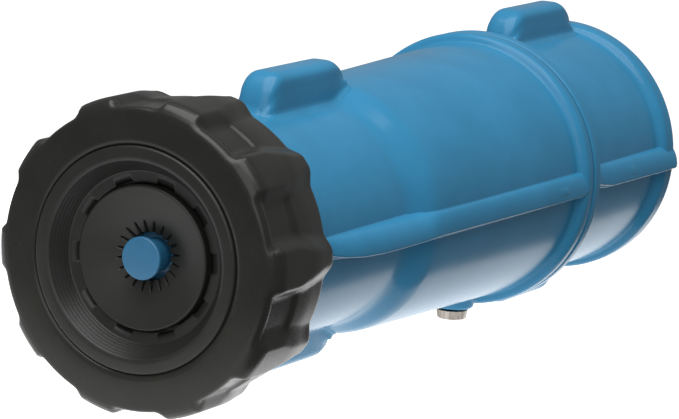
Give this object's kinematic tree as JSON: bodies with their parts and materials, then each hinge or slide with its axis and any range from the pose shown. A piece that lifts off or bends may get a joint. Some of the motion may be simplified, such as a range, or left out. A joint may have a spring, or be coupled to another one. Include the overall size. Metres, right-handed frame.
{
  "type": "twist hose nozzle",
  "caption": "Straight twist-action hose nozzle with a lugged rubber bumper, rubber grip sleeves, dished spray disc, centre stem and hose-thread inlet.",
  "frame": {"origin": "on the nozzle's axis, at the rear end of the rear sleeve, in the middle of the hose inlet", "axes": "+Y along the axis towards the hose, -Y towards the spray, +Z towards the upper grip block, +X towards one side rib"},
  "size_m": [0.0618, 0.1912, 0.0664],
  "materials": {
    "bumper_rubber": "moulded matt black",
    "sleeve_rubber": "moulded satin blue",
    "ring_plastic": "turned matt black",
    "disc_plastic": "moulded matt black",
    "stem_plastic": "moulded blue",
    "white_plastic": "moulded white",
    "aluminium": "turned and anodised clear",
    "screw_steel": "plain stainless",
    "screen_steel": "perforated stainless",
    "washer_rubber": "moulded black",
    "seal_rubber": "moulded black"
  },
  "bodies": {
    "inlet": {"inlet_body": "aluminium", "rear_sleeve": "sleeve_rubber", "hose_washer": "washer_rubber", "inlet_screen": "screen_steel", "body_seal_front": "seal_rubber", "body_seal_rear": "seal_rubber", "stem_plunger": "stem_plastic", "seat_seal": "seal_rubber", "stem_rod": "screw_steel", "stem_spider": "white_plastic", "spider_clip": "screw_steel", "stem_washer": "screw_steel", "stem_nut": "screw_steel"},
    "glide": {"guide_ring": "white_plastic"},
    "barrel": {"barrel_tube": "aluminium", "front_sleeve": "sleeve_rubber", "bumper": "bumper_rubber", "nozzle_ring": "ring_plastic", "spray_disc": "disc_plastic", "disc_gasket": "seal_rubber", "tip_seal": "seal_rubber", "guide_screw": "screw_steel"}
  },
  "joints": [
    {"name": "barrel_advance", "type": "slide", "parent": "inlet", "child": "glide", "axis": [0, -1, 0], "range_m": [0, 0.012]},
    {"name": "barrel_twist", "type": "hinge", "parent": "glide", "child": "barrel", "pos_m": [0, 0, 0], "axis": [0, -1, 0], "range_deg": [0, 270]}
  ],
  "couplings": [
    {"joint": "barrel_advance", "follows": "barrel_twist", "m_per_rad": 0.0025465}
  ]
}
